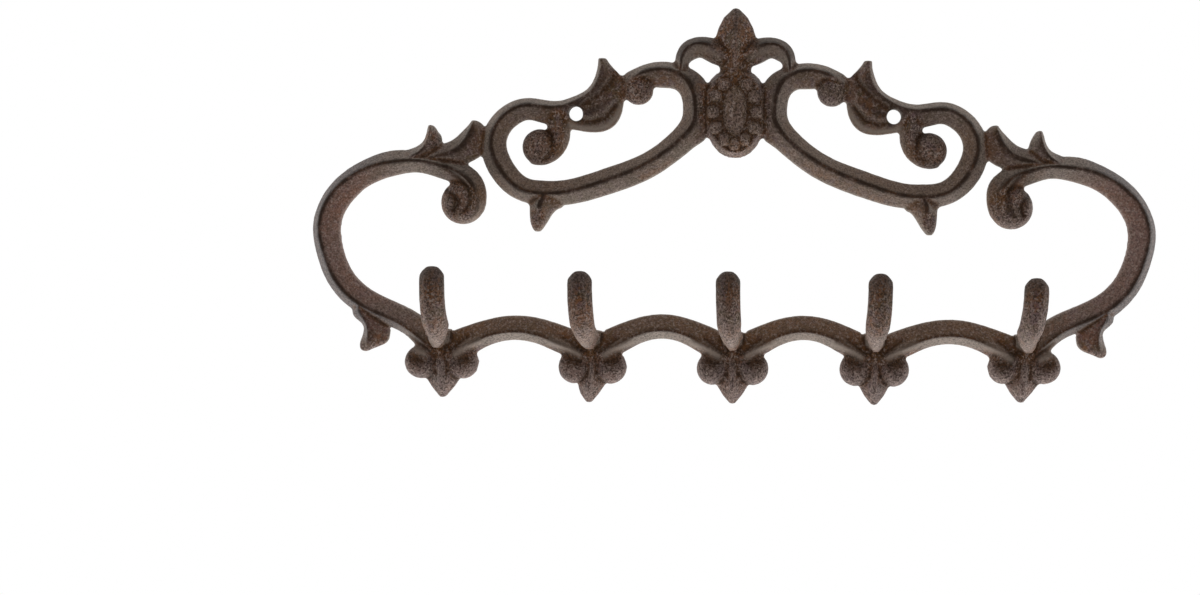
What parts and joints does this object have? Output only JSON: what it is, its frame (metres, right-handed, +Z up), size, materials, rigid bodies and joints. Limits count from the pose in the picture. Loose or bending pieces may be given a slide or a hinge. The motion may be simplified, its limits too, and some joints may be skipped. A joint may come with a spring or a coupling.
{
  "type": "coat hook rack",
  "caption": "Cast iron wall rack: keeled scrolls and leaves around a beaded boss, outer arms curling down to an arched rail of upright hooks with fleurs below.",
  "frame": {"origin": "midway between the two screw holes, on the flat back that lies against the wall", "axes": "+X to the right seen from the front, +Y into the wall, +Z up"},
  "size_m": [0.3202, 0.038, 0.1495],
  "materials": {
    "casting": "rust-brown aged sand casting, rough, darker on ridges and tips"
  },
  "bodies": {
    "root": {"hook_rack": "casting"}
  },
  "joints": []
}
